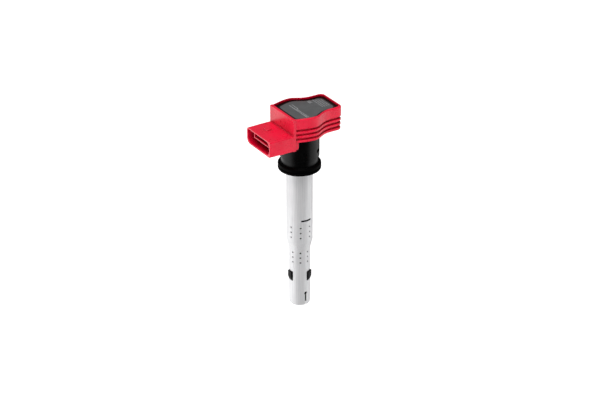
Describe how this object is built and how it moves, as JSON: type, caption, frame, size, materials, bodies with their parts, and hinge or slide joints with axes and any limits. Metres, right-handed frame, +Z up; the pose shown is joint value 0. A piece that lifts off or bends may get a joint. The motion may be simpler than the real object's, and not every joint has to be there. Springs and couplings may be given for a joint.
{
  "type": "ignition coil",
  "caption": "Plug-top ignition coil: ribbed connector head on a round neck with a rubber flange, a stepped steel tube with its windings, and a plug boot at the end.",
  "frame": {"origin": "on the tube axis at the seat plane, which is the underside of the rubber flange", "axes": "+Z up along the tube towards the head, the harness socket opens towards -X, and the curved slot and keyhole slit of the tube face -Y"},
  "size_m": [0.0743, 0.0452, 0.1885],
  "materials": {
    "red_plastic": "deep crimson glossy moulding",
    "cover_plastic": "dark grey satin plate",
    "resin": "black potting resin",
    "black_plastic": "black semi-gloss moulding",
    "seal_rubber": "black rubber",
    "boot_silicone": "black silicone",
    "tube_steel": "bright satin steel",
    "terminal_metal": "tinned brass",
    "board": "green laminate",
    "package_plastic": "black package moulding",
    "ceramic_chip": "tan ceramic",
    "aluminium_plate": "plain aluminium",
    "bobbin_plastic": "natural resin moulding",
    "copper_wire": "enamelled copper",
    "shield_steel": "dull silicon steel",
    "core_steel": "silicon steel strip",
    "magnet": "sintered magnet",
    "brass": "bright brass",
    "ceramic_resistor": "white ceramic",
    "spring_steel": "drawn steel wire"
  },
  "bodies": {
    "coil": {"head_case": "red_plastic", "connector_housing": "red_plastic", "top_cover": "cover_plastic", "potting_resin": "resin", "battery_terminal": "terminal_metal", "ground_terminal": "terminal_metal", "trigger_terminal": "terminal_metal", "sensor_ground_terminal": "terminal_metal", "circuit_board": "board", "power_transistor": "package_plastic", "heat_spreader": "aluminium_plate", "driver_chip": "package_plastic", "chip_capacitors": "ceramic_chip", "neck_housing": "black_plastic", "seal_ring": "seal_rubber", "outer_tube": "tube_steel", "plug_boot": "boot_silicone", "coil_case": "black_plastic", "flux_shield": "shield_steel", "primary_bobbin": "bobbin_plastic", "primary_winding": "copper_wire", "secondary_bobbin": "bobbin_plastic", "secondary_winding": "copper_wire", "core_laminations": "core_steel", "upper_magnet": "magnet", "lower_magnet": "magnet", "core_pads": "seal_rubber", "primary_leads": "copper_wire", "hv_lead": "copper_wire", "hv_terminal": "brass", "suppression_resistor": "ceramic_resistor", "contact_spring": "spring_steel"},
    "contact": {"contact_cap": "brass"}
  },
  "joints": [
    {"name": "contact_slide", "type": "slide", "parent": "coil", "child": "contact", "axis": [0, 0, 1], "range_m": [0, 0.006], "stiffness_N_per_m": 400, "deforming": ["contact_spring"]}
  ]
}
